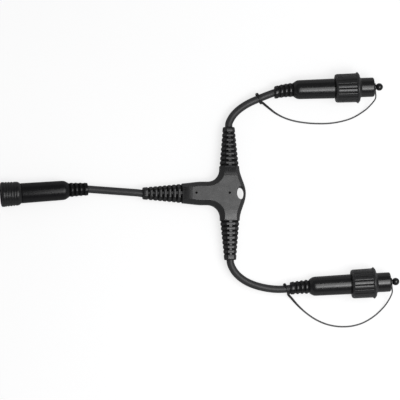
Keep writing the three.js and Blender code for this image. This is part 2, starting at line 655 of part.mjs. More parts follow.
function addJunction(root) {
  const middle = JUNCTION_HEIGHT / 2;
  const moulding = shown(junctionSolid()).translate(0, 0, middle);
  addMesh(root, 'junction_moulding', moulding, JUNCTION_LOOK());
  for (const [name, level, look] of [['live', 1, LIVE_LOOK], ['return', -1, RETURN_LOOK]]) {
    const barrel = rod(-SPLICE_LENGTH / 2, SPLICE_LENGTH / 2, SPLICE_R, 14).rotateZ(Math.PI / 2);
    barrel.translate(SPLICE_X, 0, middle + level * SPLICE_LIFT);
    addMesh(root, `splice_${name}`, shown(solid(barrel)), SLEEVE_LOOK());
    addMesh(root, `junction_core_inlet_${name}`, junctionCore(inletCorePath, level), look());
    addMesh(root, `junction_core_upper_${name}`, junctionCore(sideCorePath(1, SPLICE_X), level), look());
    addMesh(root, `junction_core_lower_${name}`, junctionCore(sideCorePath(-1, -1.8), level), look());
  }
}

// Ring, strap and eyelet moulded in one piece
function tetherGeometry(ringAt, route, connector) {
  const ring = hoop(-RING_THICK / 2, RING_THICK / 2, RING_BORE_R, RING_R, 14).rotateZ(RING_YAW);
  ring.translate(ringAt.x, ringAt.y, ringAt.z);
  const eyeletX = capEnd + NECK_LENGTH / 2;
  const eyelet = hoop(eyeletX - EYELET_THICK / 2, eyeletX + EYELET_THICK / 2, EYELET_BORE_R, EYELET_R, 12);
  eyelet.applyMatrix4(connector.matrixWorld);
  const eyeletSide = (EYELET_BORE_R + EYELET_R) / 2;
  const besideEyelet = [
    [0.4, CAP_R + STRAP_CLEARANCE, -STRAP_DROP],
    [0.3, 2 * eyeletSide + 0.2, -0.3 * STRAP_DROP],
    [0, eyeletSide, 0],
  ];
  const eyeletPoints = besideEyelet.map(([forward, out, up]) =>
    connector.localToWorld(new THREE.Vector3(eyeletX + forward, -out, up)),
  );
  const ringSide = (RING_BORE_R + RING_R) / 2;
  const down = Math.PI / 5;
  const across = new THREE.Vector3(Math.sin(RING_YAW), -Math.cos(RING_YAW), 0);
  const ringPoint = ringAt.clone().addScaledVector(across, ringSide * Math.cos(down));
  ringPoint.z -= ringSide * Math.sin(down);
  const points = [ringPoint, ...route.map((p) => new THREE.Vector3(...p)), ...eyeletPoints];
  const strap = tube(points, TETHER_R, TETHER_SIDES, 34);
  return shown(joined([solid(strap), solid(ring), solid(eyelet)]));
}

const splitter = new THREE.Group();
const inlet = inletConnector();
const upper = outletConnector('upper', UPPER_TIP, UPPER_YAW, UPPER_BEND, UPPER_WEB_TURN);
const lower = outletConnector('lower', LOWER_TIP, LOWER_YAW, LOWER_BEND, LOWER_WEB_TURN);
splitter.add(inlet, upper, lower);
addJunction(splitter);

const inletArm = armPoints(-1, 0, ARM_INLET, inletSheathAt);
const upperArm = armPoints(0, 1, ARM_SIDE, sideSheathAt);
const lowerArm = armPoints(0, -1, ARM_SIDE, sideSheathAt);
const inletCable = cableGeometry(inletArm, INLET_ROUTE, inlet, INLET_BEND, 18);
const upperCable = cableGeometry(upperArm, UPPER_ROUTE, upper, UPPER_BEND, 22);
const lowerCable = cableGeometry(lowerArm, LOWER_ROUTE, lower, LOWER_BEND, 24);
addMesh(splitter, 'inlet_cable', inletCable, CABLE_LOOK());
addMesh(splitter, 'upper_cable', upperCable, CABLE_LOOK());
addMesh(splitter, 'lower_cable', lowerCable, CABLE_LOOK());
addMesh(splitter, 'upper_cap_tether', tetherGeometry(UPPER_RING_AT, UPPER_TETHER, upper), TETHER_LOOK());
addMesh(splitter, 'lower_cap_tether', tetherGeometry(LOWER_RING_AT, LOWER_TETHER, lower), TETHER_LOOK());

export default splitter;
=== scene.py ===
# Dressed model of a waterproof T splitter cable. Lengths are in millimetres up to the meshes.
import math

import bmesh
import bpy
import numpy as np
from mathutils import Matrix, Vector


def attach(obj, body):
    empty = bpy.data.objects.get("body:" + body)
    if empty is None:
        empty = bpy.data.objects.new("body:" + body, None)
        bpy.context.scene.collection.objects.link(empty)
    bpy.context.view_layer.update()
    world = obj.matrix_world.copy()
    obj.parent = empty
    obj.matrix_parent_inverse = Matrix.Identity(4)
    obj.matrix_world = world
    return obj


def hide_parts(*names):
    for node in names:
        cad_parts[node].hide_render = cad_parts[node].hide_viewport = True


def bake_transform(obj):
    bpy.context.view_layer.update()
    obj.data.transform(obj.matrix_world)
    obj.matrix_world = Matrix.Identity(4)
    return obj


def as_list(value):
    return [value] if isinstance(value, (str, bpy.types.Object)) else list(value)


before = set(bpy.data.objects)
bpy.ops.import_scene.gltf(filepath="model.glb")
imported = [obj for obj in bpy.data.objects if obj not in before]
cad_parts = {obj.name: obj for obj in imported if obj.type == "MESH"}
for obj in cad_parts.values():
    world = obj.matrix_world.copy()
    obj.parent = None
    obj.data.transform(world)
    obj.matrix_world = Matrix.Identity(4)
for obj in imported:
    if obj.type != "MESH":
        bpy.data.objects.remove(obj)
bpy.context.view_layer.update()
MM = 0.001

# Sizes repeated from the part's source
CABLE_R = 3.25
JUNCTION_HEIGHT = 17
MIDDLE = JUNCTION_HEIGHT / 2
ARM_SIDE = 58.3
ARM_INLET = 76.4
ARM_RELIEF = 34.5
ARM_TIP_R = 5.2
ARM_ROOT_R = 8.4
ARM_FLATTEN = 0.88
ARM_HALF_WIDTH = 8.6
INLET_HALF_WIDTH = 10.2
INLET_TAPER = 16
FILLET = 11
BEVEL_IN = 4
BEVEL_HIGH = 6
EAR_REACH = 5.6
SLOT_WIDTH = 6.7
SLOT_LENGTH = 10.5
SLOT_RIM = 1.3
ARM_GAPS = 8
ARM_GAP_PITCH = 4.05
ARM_GAP_FIRST = 5.1
ARM_GAP_WIDTH = 1.6
SPINE_WIDTH = 1.8
BORE_R = 3.55
RELIEF = 17.4
RELIEF_TIP_R = 5.5
RELIEF_ROOT_R = 6.3
RELIEF_GAPS = 4
RELIEF_GAP_PITCH = 3.9
RELIEF_GAP_FIRST = 4.3
RELIEF_GAP_WIDTH = 1.7
RELIEF_CORE_R = 4.5
WEB_WIDTH = 3.6
SHOULDER = 4.2
BODY_REAR_R = 8.4
BODY_FRONT_R = 8.75
OUTLET_BODY = 35.8
INLET_BODY = 40.8
CORE_CHAMBER_R = 5.5
CORE_CHAMBER = 13
SPIGOT_R = 6.3
SHEATH_IN_GRIP = 21
NUT_SEAT_GAP = 0.9
NUT_LENGTH = 21.2
NUT_R = 12.85
NUT_REAR_R = 12.0
NUT_CHAMFER = 1.5
NUT_TAPER = 0.2
NUT_GROOVES = 20
NUT_GROOVE_WIDTH = 0.9
NUT_GROOVE_DEPTH = 0.8
FLANGE_R = 13.8
FLANGE_LENGTH = 2.8
FLANGE_RISE = 0.9
FLANGE_CONE = 1.5
FLANGE_MOUTH_R = 12.0
NUT_BACK_WALL = 2.6
THREAD_R = 10.8
THREAD_PLAY = 0.35
NECK_R = 7.9
KEEPER_LENGTH = 1.8
SEAL_LENGTH = 1.6
BARREL_R = 7.4
BARREL_REACH = 16.4
CAP_R = 8.5
CAP_REACH = 13
CAP_CONE = 2
NECK_BALL_R = 1.7
NECK_LENGTH = 1.8
BALL_R = 3.3
GAP = 0.3
COLLAR_LENGTH = 17.4
COLLAR_FRONT_R = 10.8
COLLAR_REAR_R = 10.3
COLLAR_CONE = 2.4
COLLAR_EDGE = 0.9
SOCKET_DEPTH = 12.6
RING_BORE_R = 4.1
RING_R = 5.4
RING_THICK = 1.3
EYELET_BORE_R = 2.0
EYELET_R = 3.4
EYELET_THICK = 1.1
RING_YAW = math.radians(26.6)
STRAP_R = 0.65

OUTLET_FRONT = RELIEF + OUTLET_BODY
INLET_FRONT = RELIEF + INLET_BODY
NUT_START = OUTLET_FRONT + NUT_SEAT_GAP
NUT_FRONT = NUT_START + NUT_LENGTH
CAP_END = NUT_FRONT + CAP_REACH
SKIRT_START = NUT_START + NUT_BACK_WALL + KEEPER_LENGTH + SEAL_LENGTH + 3 * GAP
BALL_MIDDLE = CAP_END + NECK_LENGTH + math.sqrt(BALL_R**2 - NECK_BALL_R**2)
EYELET_X = CAP_END + NECK_LENGTH / 2

# Sizes that only the dressed pieces have
MOUTH_R = 3.62  # where a relief's end closes round the cable
ARM_INTO = 3.0  # how far an arm runs into the block
ARM_TIP_HEIGHT = 5.1
PLATE_TOP = 0.54  # flat top and upright side of a rib, as shares of its width
PLATE_SIDE = 0.26
ARM_CORE_IN = 0.55
ARM_CORE_HEIGHT = 3.9
ARM_CORE_RISE = 0.55
FACET = 8.2  # length over which the plateau runs down to an arm
SLOT_FLARE = 0.9
CHAMBER = 5.6  # half the height of the hollow round the splices
CHAMBER_BOXES = ((-17, 2.6, -6.5, 6.5), (-11, 2.6, -11.5, 11.5))
DIMPLES = (-30, -0.8)
DIMPLE_WIDTH = 2.1
DIMPLE_DEPTH = 2.2
THREAD_LEAD = 2.4
THREAD_DEPTH = 0.4
RING_EXTRA = 0.6  # the ring is this much thicker than the solid one
RING_SNUG = 0.5  # and its bore this much tighter
STRAP_LOWER = 0.15  # a thinner strap than the solid one lies this much lower
STRAP_LAID = 2.5  # points lower than this lie on the floor
STRAP_DARK = 18  # length of the darker stretch next to the ring
# Shares of the strap's length, and what its radius gains there
STRAP_SHARES = (0, 0.2, 0.5, 0.85, 0.95, 1)
STRAP_GROWTH = (0.5, 0.08, 0.03, -0.03, -0.05, 0.05)

# Middle lines of the cables and straps, as in the part's source
INLET_ROUTE = [
    (-80.5, 0.5, 8.5), (-88, 1.1, 8.3), (-96, 1.7, 8.1),
    (-104, 2.3, 8.0), (-112, 2.9, 7.9), (-119, 3.4, 7.9),
]
UPPER_ROUTE = [
    (0.2, 61.5, 8.5), (1.7, 65, 8.4), (4.0, 68.6, 8.3), (7.2, 72.1, 8.2), (11.2, 75.4, 8.2),
    (16.0, 78.5, 8.2), (21.5, 81.3, 8.3), (28.0, 84.1, 8.5), (35.0, 86.9, 8.7),
]
LOWER_ROUTE = [
    (0.4, -61.5, 8.5), (1.9, -65.2, 8.4), (4.4, -69.2, 8.3), (8.0, -72.9, 8.2), (12.8, -76.4, 8.1),
    (18.6, -79.3, 8.1), (25.5, -81.6, 8.2), (33.0, -83.2, 8.3), (40.5, -84.0, 8.5), (47.5, -83.9, 8.8),
]
UPPER_RING_AT = Vector((27.2, 83.8, 8.0))
UPPER_TETHER = [
    (30.3, 80.9, 4.0), (33.6, 78.6, 2.8), (37.6, 75.6, 1.6), (42.8, 71.8, 0.8), (50.7, 67.7, 0.8),
    (59.8, 64.9, 0.8), (69.9, 63.3, 0.8), (80.0, 62.7, 0.8), (91.0, 63.0, 0.8), (102.0, 64.8, 0.8),
    (111.6, 67.9, 1.0), (119.6, 72.4, 2.0), (125.2, 76.8, 4.6),
]
LOWER_RING_AT = Vector((49.6, -83.7, 8.4))
LOWER_TETHER = [
    (51.9, -88.6, 3.4), (54.9, -91.8, 2.2), (58.2, -95.5, 1.2), (62.4, -99.8, 0.8), (68.6, -105.2, 0.8),
    (76.7, -110.6, 0.8), (85.1, -114.3, 0.8), (92.9, -116.2, 0.8), (100.8, -116.8, 0.8),
    (108.7, -116.2, 0.8), (118.0, -113.6, 0.8), (127.6, -108.2, 1.0), (134.4, -102.3, 2.0),
    (138.8, -96.8, 4.6),
]

# Camera: almost straight down, leaning a little towards the lower left
IMAGE_WIDTH = 349.4  # millimetres seen across the picture at the middle of the object's height
CAMERA_DISTANCE = 2200.0
AIM = Vector((-25.98, -5.72, MIDDLE))
ROLL = 0.00998
LEAN = Vector((-0.12, -0.085, 1.0)).normalized()

camera_data = bpy.data.cameras.new("camera")
camera_data.sensor_width = 36
camera_data.lens = camera_data.sensor_width * CAMERA_DISTANCE / IMAGE_WIDTH
camera_data.clip_start = 0.1
camera_data.clip_end = 20
camera = bpy.data.objects.new("camera", camera_data)
bpy.context.scene.collection.objects.link(camera)
across = Vector((0, 1, 0)).cross(LEAN).normalized()
upward = LEAN.cross(across).normalized()
rolled = across * math.cos(ROLL) - upward * math.sin(ROLL)
turn = Matrix((rolled, LEAN.cross(rolled), LEAN)).transposed()
camera.matrix_world = Matrix.Translation((AIM + LEAN * CAMERA_DISTANCE) * MM) @ turn.to_4x4()
bpy.context.scene.camera = camera


# Node materials
GAP_SHADE_AND_STRAP_MASK = "depth"  # 0 to 1: how deep a vertex lies in a gap, or how near its ring on a strap; it paints shade on gap floors and darkens the strap's stretch by its ring
# Colour share kept where that mask is full: painted shade on gap floors, and the darker stretch of a strap by
# its ring
GAP_SHADE_AND_STRAP_TONE = 0.3
GAP_ROUGH = 0.95
SPECK_SCALE = 3100
SPECK_RANGE = (0.74, 0.8)
SHEEN_SCALE = 210
GRAIN_HEIGHT = 0.00008


def add_node(tree, kind, **values):
    node = tree.nodes.new(kind)
    for key, value in values.items():
        if hasattr(node, key):
            setattr(node, key, value)
        else:
            node.inputs[key].default_value = value
    return node


def noise(tree, coordinates, scale, detail=3.0, rough=0.5):
    node = add_node(tree, "ShaderNodeTexNoise")
    node.inputs["Scale"].default_value = scale
    node.inputs["Detail"].default_value = detail
    node.inputs["Roughness"].default_value = rough
    tree.links.new(coordinates, node.inputs["Vector"])
    return node.outputs["Fac"]


def remap(tree, value, low, high, to_low, to_high):
    node = add_node(tree, "ShaderNodeMapRange")
    for key, number in zip(("From Min", "From Max", "To Min", "To Max"), (low, high, to_low, to_high)):
        node.inputs[key].default_value = number
    tree.links.new(value, node.inputs["Value"])
    return node.outputs["Result"]


def mixed(tree, factor, first, second):
    node = add_node(tree, "ShaderNodeMix", data_type="RGBA")
    tree.links.new(factor, node.inputs["Factor"])
    for socket, colour in ((node.inputs[6], first), (node.inputs[7], second)):
        if isinstance(colour, bpy.types.NodeSocket):
            tree.links.new(colour, socket)
        else:
            socket.default_value = (*colour, 1)
    return node.outputs[2]


def surface(name, base, spread=0.18, rough=0.34, rough_spread=0.05, grain=2600, bump=0.12, dust=0.35,
            specular=0.5, metallic=0.0, patch=55, dust_colour=(0.16, 0.16, 0.165), gaps=False):
    """Moulded surface: soft patches of tone, fine grain in the relief and a few pale specks.

    With gaps, the floors of slots and grooves get painted shade, a darker colour and a duller surface; a
    strap gets the same darkening on the stretch next to its ring.
    """
    material = bpy.data.materials.new(name)
    material.use_nodes = True
    tree = material.node_tree
    shader = tree.nodes["Principled BSDF"]
    place = add_node(tree, "ShaderNodeTexCoord").outputs["Object"]
    patches = noise(tree, place, patch, 4.0, 0.55)
    darker = [c * (1 - spread) for c in base]
    lighter = [c * (1 + spread) for c in base]
    tone = mixed(tree, remap(tree, patches, 0.3, 0.7, 0, 1), darker, lighter)
    speck = remap(tree, noise(tree, place, SPECK_SCALE, 1.0, 0.4), *SPECK_RANGE, 0, dust)
    colour = mixed(tree, speck, tone, dust_colour)
    fine = noise(tree, place, grain, 2.0, 0.6)
    sheen = noise(tree, place, SHEEN_SCALE, 3.0, 0.6)
    dull = remap(tree, sheen, 0.3, 0.7, rough - rough_spread, rough + rough_spread)
    if gaps:
        # Painted shade: marked gap floors get a darker colour and a duller surface, and so does a strap's
        # stretch by its ring
        depth = add_node(tree, "ShaderNodeAttribute", attribute_name=GAP_SHADE_AND_STRAP_MASK).outputs["Fac"]
        colour = mixed(tree, depth, colour, [c * GAP_SHADE_AND_STRAP_TONE for c in base])
        mix = add_node(tree, "ShaderNodeMix", data_type="FLOAT")
        tree.links.new(depth, mix.inputs[0])
        tree.links.new(dull, mix.inputs[2])
        mix.inputs[3].default_value = GAP_ROUGH
        dull = mix.outputs[0]
    tree.links.new(colour, shader.inputs["Base Color"])
    tree.links.new(dull, shader.inputs["Roughness"])
    relief = add_node(tree, "ShaderNodeBump")
    relief.inputs["Strength"].default_value = bump
    relief.inputs["Distance"].default_value = GRAIN_HEIGHT
    tree.links.new(fine, relief.inputs["Height"])
    tree.links.new(relief.outputs["Normal"], shader.inputs["Normal"])
    shader.inputs["Specular IOR Level"].default_value = specular
    shader.inputs["Metallic"].default_value = metallic
    return material


GRIP = surface("grip_plastic", (0.009, 0.009, 0.0102), rough=0.25, specular=0.7, gaps=True)
INLET_GRIP = surface("inlet_grip_plastic", (0.0085, 0.0085, 0.0097), rough=0.28, specular=0.33, gaps=True)
JUNCTION = surface(
    "junction_rubber", (0.0095, 0.0095, 0.0107), rough=0.29, grain=2200, bump=0.16, specular=0.7, gaps=True
)
NUT = surface("nut_plastic", (0.021, 0.021, 0.0225), rough=0.3, specular=0.8, gaps=True)
CAP = surface("cap_plastic", (0.0095, 0.0095, 0.0107), rough=0.25, specular=0.8)
COLLAR = surface("collar_plastic", (0.0105, 0.0105, 0.0118), rough=0.32, specular=0.6)
CARRIER = surface("carrier_plastic", (0.010, 0.010, 0.011), rough=0.4)
CABLE = surface("cable_rubber", (0.043, 0.043, 0.045), rough=0.42, bump=0.2, patch=90)
TETHER = surface("tether_rubber", (0.014, 0.014, 0.015), rough=0.45)
STRAP = surface("tether_strap_rubber", (0.085, 0.085, 0.088), rough=0.4, gaps=True)
SEAL = surface("seal_rubber", (0.32, 0.07, 0.03), rough=0.55, dust=0.1)
BRASS = surface("contact_brass", (0.62, 0.42, 0.13), spread=0.08, rough=0.28, metallic=1.0, dust=0.05)
LIVE = surface("core_live", (0.19, 0.07, 0.025), rough=0.45)
RETURN = surface("core_return", (0.028, 0.11, 0.34), rough=0.45)
SPLICE = surface("splice_metal", (0.55, 0.55, 0.56), spread=0.06, rough=0.34, metallic=1.0, dust=0.05)


# Meshes
def quads(rows, columns, loop_rows=False):
    """Faces of a grid whose columns close round; loop_rows also joins the last row to the first."""
    faces = []
    for i in range(rows if loop_rows else rows - 1):
        a, b = i * columns, ((i + 1) % rows) * columns
        for j in range(columns):
            k = (j + 1) % columns
            faces.append((a + j, a + k, b + k, b + j))
    return faces


def make_object(name, points, faces):
    mesh = bpy.data.meshes.new(name)
    mesh.from_pydata([tuple(p) for p in np.asarray(points, float) * MM], [], faces)
    shape = bmesh.new()
    shape.from_mesh(mesh)
    bmesh.ops.remove_doubles(shape, verts=shape.verts, dist=1e-7)
    bmesh.ops.dissolve_degenerate(shape, edges=shape.edges, dist=1e-7)
    bmesh.ops.recalc_face_normals(shape, faces=shape.faces)
    shape.to_mesh(mesh)
    shape.free()
    piece = bpy.data.objects.new(name, mesh)
    bpy.context.scene.collection.objects.link(piece)
    return piece


def dress(piece, material, replaced, body="root", smooth=32):
    mesh = piece.data
    mesh.materials.clear()
    mesh.materials.append(material)
    mesh.polygons.foreach_set("use_smooth", [True] * len(mesh.polygons))
    mesh.set_sharp_from_angle(angle=math.radians(smooth))
    if body:
        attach(piece, body)
    if replaced:
        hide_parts(*replaced)
    return piece


def rounded(outline, steps=4):
    """Outline of (x, r, cut) corners; each corner is rounded off over the length cut on both sides."""
    count = len(outline)
    result = []
    for i, (x, r, cut) in enumerate(outline):
        if cut <= 0:
            result.append((x, r))
            continue
        here = np.array((x, r))
        before = np.array(outline[i - 1][:2]) - here
        after = np.array(outline[(i + 1) % count][:2]) - here
        before = before / np.linalg.norm(before) * cut
        after = after / np.linalg.norm(after) * cut
        for k in range(steps + 1):
            t = k / steps
            result.append(tuple(here + before * (1 - t) ** 2 + after * t**2))
    return result


def lathe_points(outline, turns):
    """Grid of points: one row for each (x, r), where r is a number or one number for each turn."""
    rows = []
    for x, r in outline:
        radius = np.broadcast_to(np.asarray(r, float), turns.shape)
        along = np.broadcast_to(np.asarray(x, float), turns.shape)
        rows.append(np.stack((along, radius * np.cos(turns), radius * np.sin(turns)), axis=1))
    return np.concatenate(rows)


def even_turns(count):
    return np.arange(count) * 2 * math.pi / count


def apart(first, second):
    """Angle between two turns, from 0 to half a turn."""
    return abs((first - second + math.pi) % (2 * math.pi) - math.pi)


def with_edges(count, middles, half, step=0.02):
    """Even turns plus two close pairs at the edges of each web."""
    values = list(even_turns(count))
    for middle in middles:
        for side in (-1, 1):
            edge = middle + side * half
            values = [v for v in values if apart(v, edge) > 2.2 * step]
            values += [edge - step, edge + step]
    return np.array(sorted(v % (2 * math.pi) for v in values))


def near(turns, middles, half):
    """1 within half of any middle, otherwise 0."""
    result = np.zeros_like(turns)
    for middle in middles:
        result = np.maximum(result, (apart(turns, middle) < half).astype(float))
    return result


def ribs(outer, floor_of, web_mask, web_drop, first, pitch, count, width, edge=0.5, lip=0.35):
    """Rows of a ribbed relief. outer and floor_of give a radius for each turn at a place along it."""
    def sunken(x, fill):
        return (floor_of(x) + fill) * (1 - web_mask) + (outer(x) - web_drop) * web_mask

    rows = []
    for i in range(count):
        for side in (-1, 1):
            wall = first + i * pitch + side * width / 2
            top, brow, foot, base = (wall + side * away for away in (edge, edge * 0.35, -0.06, -0.35))
            steps = [
                (top, outer(top)), (brow, outer(brow) - lip * 0.28), (wall, outer(wall) - lip),
                (foot, sunken(foot, 0.35)), (base, sunken(base, 0)),
            ]
            rows += steps if side < 0 else steps[::-1]
    return rows


def transform(points, matrix):
    points = np.asarray(points, float)
    turned = np.array(matrix.to_3x3())
    return points @ turned.T + np.array(matrix.translation)


def mark_depth(piece, connector, depth_of):
    """Keeps how deep each vertex lies in a gap, the mask that the surface turns into painted shade; depth_of
    takes its place in the connector's own frame.
    """
    mesh = piece.data
    places = np.empty(len(mesh.vertices) * 3)
    mesh.vertices.foreach_get("co", places)
    local = transform(places.reshape(-1, 3) / MM, connector.inverted())
    layer = mesh.attributes.get(GAP_SHADE_AND_STRAP_MASK) or mesh.attributes.new(GAP_SHADE_AND_STRAP_MASK, "FLOAT", "POINT")
    kept = np.empty(len(mesh.vertices))
    layer.data.foreach_get("value", kept)
    layer.data.foreach_set("value", np.maximum(kept, depth_of(local)))


def sunk(surface_r, r, shallow, deep):
    """0 at the surface and down to shallow under it, 1 from deep on."""
    return np.clip((surface_r - r - shallow) / (deep - shallow), 0, 1)


def tail_bend(points, sideways):
    back = np.clip(RELIEF - points[:, 0], 0, None) / RELIEF
    points[:, 1] += sideways * back**2
    return points


def seated(tip, yaw, rear, front):
    """Where a connector lies, on two rims given as (x, radius)."""
    tilt = math.atan((front[1] - rear[1]) / (front[0] - rear[0]))
    height = rear[1] * math.cos(tilt) - rear[0] * math.sin(tilt)
    place = Matrix.Translation((tip[0], tip[1], height))
    return place @ Matrix.Rotation(yaw, 4, "Z") @ Matrix.Rotation(-tilt, 4, "Y")


# Rims that the connectors lie on
NUT_RIMS = (
    (NUT_START + NUT_CHAMFER, NUT_R - NUT_TAPER),
    (NUT_FRONT - FLANGE_LENGTH + FLANGE_RISE, FLANGE_R),
)
COLLAR_RIMS = (
    (INLET_FRONT + GAP + COLLAR_CONE, COLLAR_REAR_R),
    (INLET_FRONT + GAP + COLLAR_LENGTH - 2 * COLLAR_EDGE, COLLAR_FRONT_R),
)
INLET = seated((-124.1, 4.2), math.radians(184.2), *COLLAR_RIMS)
UPPER = seated((40.7, 90.9), math.radians(1.8), *NUT_RIMS)
LOWER = seated((52.6, -82.7), math.radians(2.9), *NUT_RIMS)
# How far the tail of each relief is bent sideways
INLET_BEND, UPPER_BEND, LOWER_BEND = 0.4, -1.9, -0.6


# Cables and cap tethers
def smooth_path(points, spacing=0.8):
    """Smooth curve through the points, in nearly even steps."""
    p = [np.array(q, float) for q in points]
    p = [2 * p[0] - p[1], *p, 2 * p[-1] - p[-2]]
    result = []
    for i in range(1, len(p) - 2):
        a, b, c, d = p[i - 1 : i + 3]
        t0 = 0.0
        t1 = t0 + np.linalg.norm(b - a) ** 0.5
        t2 = t1 + np.linalg.norm(c - b) ** 0.5
        t3 = t2 + np.linalg.norm(d - c) ** 0.5
        steps = max(2, round(np.linalg.norm(c - b) / spacing))
        for k in range(steps):
            t = t1 + (t2 - t1) * k / steps
            a1 = (t1 - t) / (t1 - t0) * a + (t - t0) / (t1 - t0) * b
            a2 = (t2 - t) / (t2 - t1) * b + (t - t1) / (t2 - t1) * c
            a3 = (t3 - t) / (t3 - t2) * c + (t - t2) / (t3 - t2) * d
            b1 = (t2 - t) / (t2 - t0) * a1 + (t - t0) / (t2 - t0) * a2
            b2 = (t3 - t) / (t3 - t1) * a2 + (t - t1) / (t3 - t1) * a3
            result.append((t2 - t) / (t2 - t1) * b1 + (t - t1) / (t2 - t1) * b2)
    result.append(p[-2])
    return np.array(result)


def tube(name, path, radius, sides):
    """Closed round tube; radius is a number or one number for each point of the path."""
    radii = np.broadcast_to(np.asarray(radius, float), (len(path),))
    ahead = np.gradient(path, axis=0)
    ahead /= np.linalg.norm(ahead, axis=1)[:, None]
    side = np.cross(ahead[0], (0, 0, 1.0))
    rows = []
    for at, forward, r in zip(path, ahead, radii):
        side = side - forward * side.dot(forward)
        side /= np.linalg.norm(side)
        up = np.cross(side, forward)
        turns = even_turns(sides)[:, None]
        rows.append(at + r * (np.cos(turns) * side + np.sin(turns) * up))
    points = np.concatenate(rows)
    faces = quads(len(path), sides)
    faces.append(tuple(range(sides)))
    faces.append(tuple(range((len(path) - 1) * sides, len(path) * sides)))
    return make_object(name, points, faces)


CABLE_IN_ARM = 24
CABLE_IN_GRIP = (1, 5, 9, 13, 18)


def cable(name, tip, outward, route, connector, sideways):
    """Cable from inside an arm's tip, along its route, into a grip."""
    start = [tuple(np.array(tip) - np.array(outward) * d) for d in (CABLE_IN_ARM, CABLE_IN_ARM / 2, 0)]
    shifts = [sideways * ((RELIEF - min(x, RELIEF)) / RELIEF) ** 2 for x in CABLE_IN_GRIP]
    inside = [tuple(connector @ Vector((x, shift, 0))) for x, shift in zip(CABLE_IN_GRIP, shifts)]
    path = smooth_path([*start, *route, *inside])
    piece = tube(name, path, CABLE_R, 28)
    return piece, path


CABLES = (
    ("inlet", (-ARM_INLET, 0, MIDDLE), (-1, 0, 0), INLET_ROUTE, INLET, INLET_BEND),
    ("upper", (0, ARM_SIDE, MIDDLE), (0, 1, 0), UPPER_ROUTE, UPPER, UPPER_BEND),
    ("lower", (0, -ARM_SIDE, MIDDLE), (0, -1, 0), LOWER_ROUTE, LOWER, LOWER_BEND),
)
cables = {}
for name, tip, outward, route, connector, sideways in CABLES:
    piece, cable_path = cable(f"{name}_cable_sheath", tip, outward, route, connector, sideways)
    dress(piece, CABLE, [f"{name}_cable"])
    cables[name] = (piece, cable_path, tip)


def strap(name, ring_at, route, connector, node):
    """Strap of a cap's tether, from its ring round the cable to its eyelet on the cap's neck."""
    side = (RING_BORE_R + RING_R) / 2
    down = math.pi / 5
    start = ring_at + Vector((math.sin(RING_YAW), -math.cos(RING_YAW), 0)) * side * math.cos(down)
    start.z -= side * math.sin(down)
    eyelet = (EYELET_BORE_R + EYELET_R) / 2
    ends = [(0.4, CAP_R + 1, -3), (0.3, 2 * eyelet + 0.2, -0.9), (0, eyelet, 0)]
    ends = [tuple(connector @ Vector((EYELET_X + forward, -out, up))) for forward, out, up in ends]
    path = smooth_path([tuple(start), *route, *ends], 1.0)
    share = np.linspace(0, 1, len(path))
    radius = STRAP_R + np.interp(share, STRAP_SHARES, STRAP_GROWTH)
    laid = path[:, 2] < STRAP_LAID
    path[laid, 2] = np.maximum(path[laid, 2] - STRAP_R - STRAP_LOWER, 0) + radius[laid]
    piece = tube(name, path, radius, 14)

    def darkness(local):
        return np.clip(1.4 - np.linalg.norm(local - path[0], axis=1) / STRAP_DARK, 0, 1)

    mark_depth(piece, Matrix(), darkness)
    dress(piece, STRAP, [node], body=None)
    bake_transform(piece)
    return piece, path


TETHERS = (
    ("upper", UPPER_RING_AT, UPPER_TETHER, UPPER),
    ("lower", LOWER_RING_AT, LOWER_TETHER, LOWER),
)
for name, ring_at, route, connector in TETHERS:
    strap(
        f"{name}_tether_strap", ring_at, route, connector, f"{name}_cap_tether"
    )


def hoop(name, thick, bore, outer, sides, soft, place, node, body):
    """Small moulded ring about X with rounded edges."""
    h = thick / 2
    outline = rounded([(-h, bore, soft), (-h, outer, soft), (h, outer, soft), (h, bore, soft)], 3)
    points = transform(lathe_points(outline, even_turns(sides)), place)
    piece = make_object(name, points, quads(len(outline), sides, True))
    return dress(piece, TETHER, [node], body)


for name, ring_at, route, connector in TETHERS:
    place = Matrix.Translation(ring_at) @ Matrix.Rotation(RING_YAW, 4, "Z")
    hoop(
        f"{name}_tether_ring", RING_THICK + RING_EXTRA, RING_BORE_R - RING_SNUG, RING_R, 56, 0.4, place,
        f"{name}_cap_tether", "root",
    )
    place = connector @ Matrix.Translation((EYELET_X, 0, 0))
    hoop(
        f"{name}_tether_eyelet", EYELET_THICK, EYELET_BORE_R, EYELET_R, 40, 0.3, place,
        f"{name}_cap_tether", f"{name}_cap",
    )


